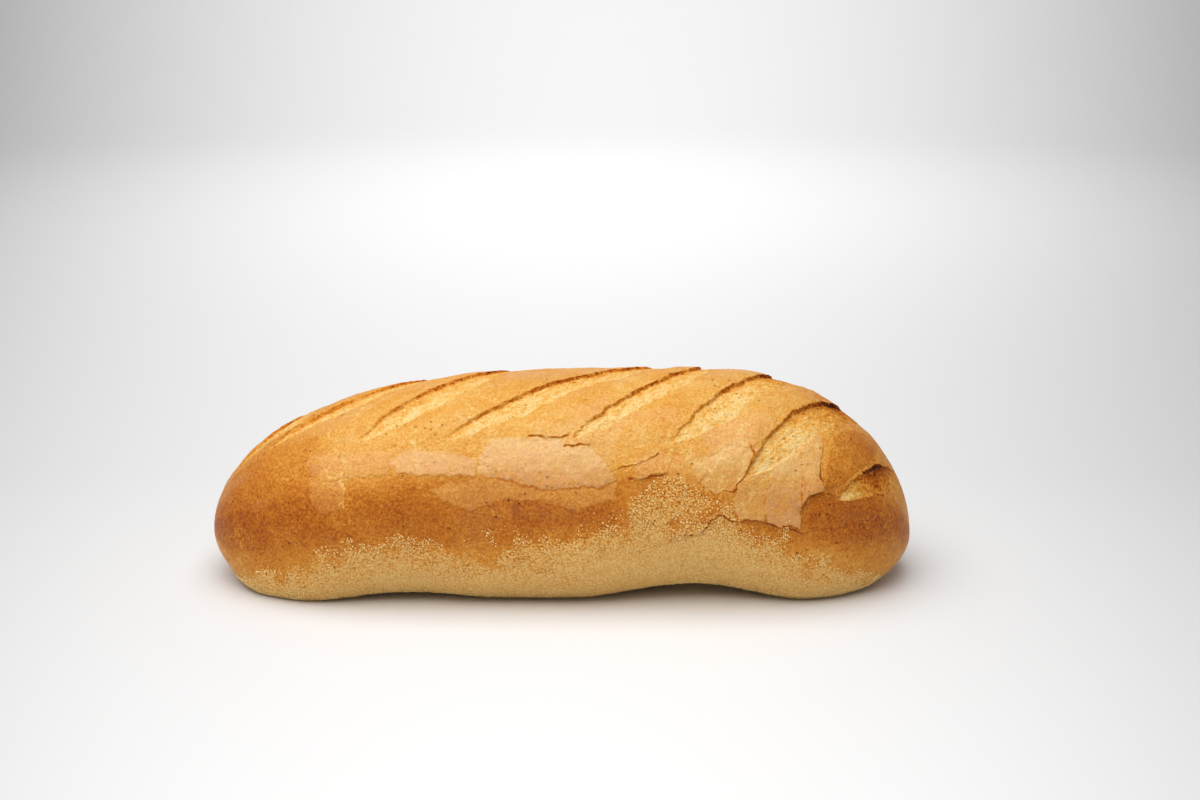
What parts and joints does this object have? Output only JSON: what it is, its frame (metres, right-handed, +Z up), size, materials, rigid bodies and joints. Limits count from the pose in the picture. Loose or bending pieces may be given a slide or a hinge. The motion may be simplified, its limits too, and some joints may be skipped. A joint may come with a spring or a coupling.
{
  "type": "loaf of bread",
  "caption": "Long oval french loaf with a flat sole, round ends and slanting slashes torn open across its browned crust.",
  "frame": {"origin": "middle of the loaf's footprint, on the surface it rests on", "axes": "+X along the loaf to its blunter, browner end, +Y to the back of the loaf, +Z up"},
  "size_m": [0.34, 0.1284, 0.1005],
  "materials": {
    "crust": "satin baked crust, golden on top, brown on the shoulders and pale and sandy near the sole"
  },
  "bodies": {
    "root": {"loaf": "crust"}
  },
  "joints": []
}
